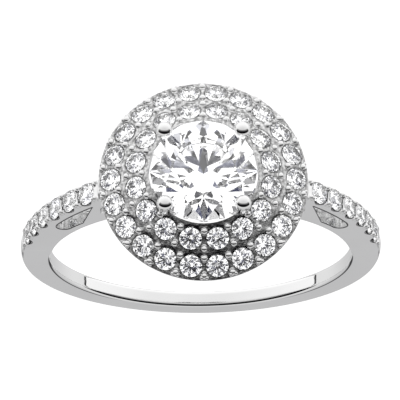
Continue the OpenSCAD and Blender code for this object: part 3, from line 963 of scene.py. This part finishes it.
def read_all(items, name, kind, width=1):
    """One value of each item of a mesh, read as an array, with a row for each item where it has
    several."""
    values = np.zeros(len(items) * width, kind)
    items.foreach_get(name, values)
    return values.reshape(-1, width) if width > 1 else values


def finish_numbers(mesh):
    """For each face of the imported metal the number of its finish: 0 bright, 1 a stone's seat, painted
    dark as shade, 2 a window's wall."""
    q = worn_place(read_all(mesh.vertices, "co", np.float32, 3).astype(float))
    starts = read_all(mesh.polygons, "loop_start", np.int32)
    loops = read_all(mesh.loops, "vertex_index", np.int32)
    facing = read_all(mesh.polygons, "normal", np.float32, 3) @ LAID
    in_seat = np.zeros(len(mesh.polygons), bool)
    for middle, up in zip(*small_stones()):
        rise = (q - middle) @ up
        away = np.linalg.norm(q - middle - rise[:, None] * up, axis=1)
        inside = (away < SMALL_R + SEAT_MARGIN) & (rise > SEAT_LOW) & (rise < SEAT_HIGH)
        in_seat |= np.logical_and.reduceat(inside[loops], starts)
    depth = SHOULDER_R - np.hypot(np.abs(q[:, 0]) - SHOULDER_X, q[:, 2] - BAND_DROP)
    in_band = (depth > WINDOW_FROM) & (np.hypot(q[:, 0], q[:, 2]) > FINGER_R + WINDOW_OFF_HOLE)
    in_band &= (np.abs(q[:, 0]) > HALO_IN_R) & (q[:, 2] > HOOP_TOP + WINDOW_OFF_HOOP) & (q[:, 2] < FINGER_R)
    in_window = np.logical_and.reduceat(in_band[loops], starts)
    on_flank = facing[:, 1] * np.sign(q[loops[starts], 1]) >= FLANK_SHARE
    return np.select([on_flank, in_seat, in_window], [0, 1, 2], 0).astype(np.int32)


def polished_metal(node, bright, seat, window):
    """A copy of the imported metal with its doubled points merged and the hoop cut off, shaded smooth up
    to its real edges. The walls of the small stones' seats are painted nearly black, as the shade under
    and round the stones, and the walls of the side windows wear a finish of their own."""
    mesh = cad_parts[node].data.copy()
    mesh.name = node + "_polished"
    if mesh.attributes.get("custom_normal"):
        mesh.attributes.remove(mesh.attributes["custom_normal"])
    work = bmesh.new()
    work.from_mesh(mesh)
    bmesh.ops.remove_doubles(work, verts=work.verts, dist=1e-7)
    cut_off_hoop(work)
    shade_smooth(work, SHARP_BEND, Vector(turn([0, 1, 0])))
    work.to_mesh(mesh)
    work.free()
    piece = bpy.data.objects.new(node + "_polished", mesh)
    bpy.context.scene.collection.objects.link(piece)
    even = piece.modifiers.new("even_shading", "WEIGHTED_NORMAL")
    even.keep_sharp = True
    mesh.materials.clear()
    for material in (bright, seat, window):
        mesh.materials.append(material)
    mesh.polygons.foreach_set("material_index", finish_numbers(mesh))
    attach(piece, "root")
    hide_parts(node)


scene = bpy.context.scene
scene.view_settings.view_transform = "Standard"
scene.cycles.max_bounces = 20
scene.cycles.transmission_bounces = 20
scene.cycles.glossy_bounces = 8

add_camera()
add_studio_light()
add_floor()

# Finishes: light and dark tone, roughness, wear and relief
polish = build_polish()
hoop_metal = metal("hoop_metal", polish, grey(0.95), grey(0.92), 0.02, 0.05, 0.02)
bright_metal = metal("bright_metal", polish, grey(0.95), grey(0.92), 0.02, 0.05, 0.02, rounding=0.1)
# Seats: nearly black, painted shade under and round the small stones.
seat_shade_metal = metal("seat_shade_metal", polish, grey(0.12, 0.005), grey(0.05, 0.005), 0.2, 0.2, 0.1)
window_metal = metal("window_metal", polish, grey(0.93), grey(0.7), 0.1, 0.15, 0.1)
# The halo's face metal is dark in part as painted shade in the recesses between the stones; the waves break
# its tone up at random.
face_metal = metal("face_metal", polish, grey(0.86), grey(0.3), 0.03, 0.06, 0.8, waves=FINE_WAVES)
bead_metal = metal("bead_metal", polish, grey(0.95), grey(0.8), 0.03, 0.06, 0.5, waves=FINE_WAVES)
grain_metal = metal("grain_metal", polish, grey(0.95), grey(0.85), 0.02, 0.05, 0.1)
# Lines: nearly black, painted shade under the shoulders' stones and along the windows' edges.
shade_line_metal = metal("shade_line_metal", polish, grey(0.1, 0.005), grey(0.05, 0.005), 0.2, 0.2, 0.1)

polished_metal("ring_metal", bright_metal, seat_shade_metal, window_metal)
hoop(hoop_metal)
halo_relief(face_metal)
halo_beads(bead_metal)
rim_grains(grain_metal)
shoulder_grains(grain_metal)
scallop_lines(shade_line_metal)
window_lines(shade_line_metal)
claw_balls(hoop_metal)

clear_stone = cut_stone("clear_stone", 0.9, (0.93, 0.94, 1.0, 1))
for name in ("center_stone", "left_shoulder_stones", "right_shoulder_stones"):
    wear_material(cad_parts[name], clear_stone)
# Small cells of near-black painted shade, where facets don't flash.
lively_stone = cut_stone("lively_stone", 0.17, grey(0.02, 0.005))
for name in ("inner_halo_stones", "outer_halo_stones"):
    wear_material(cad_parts[name], lively_stone)
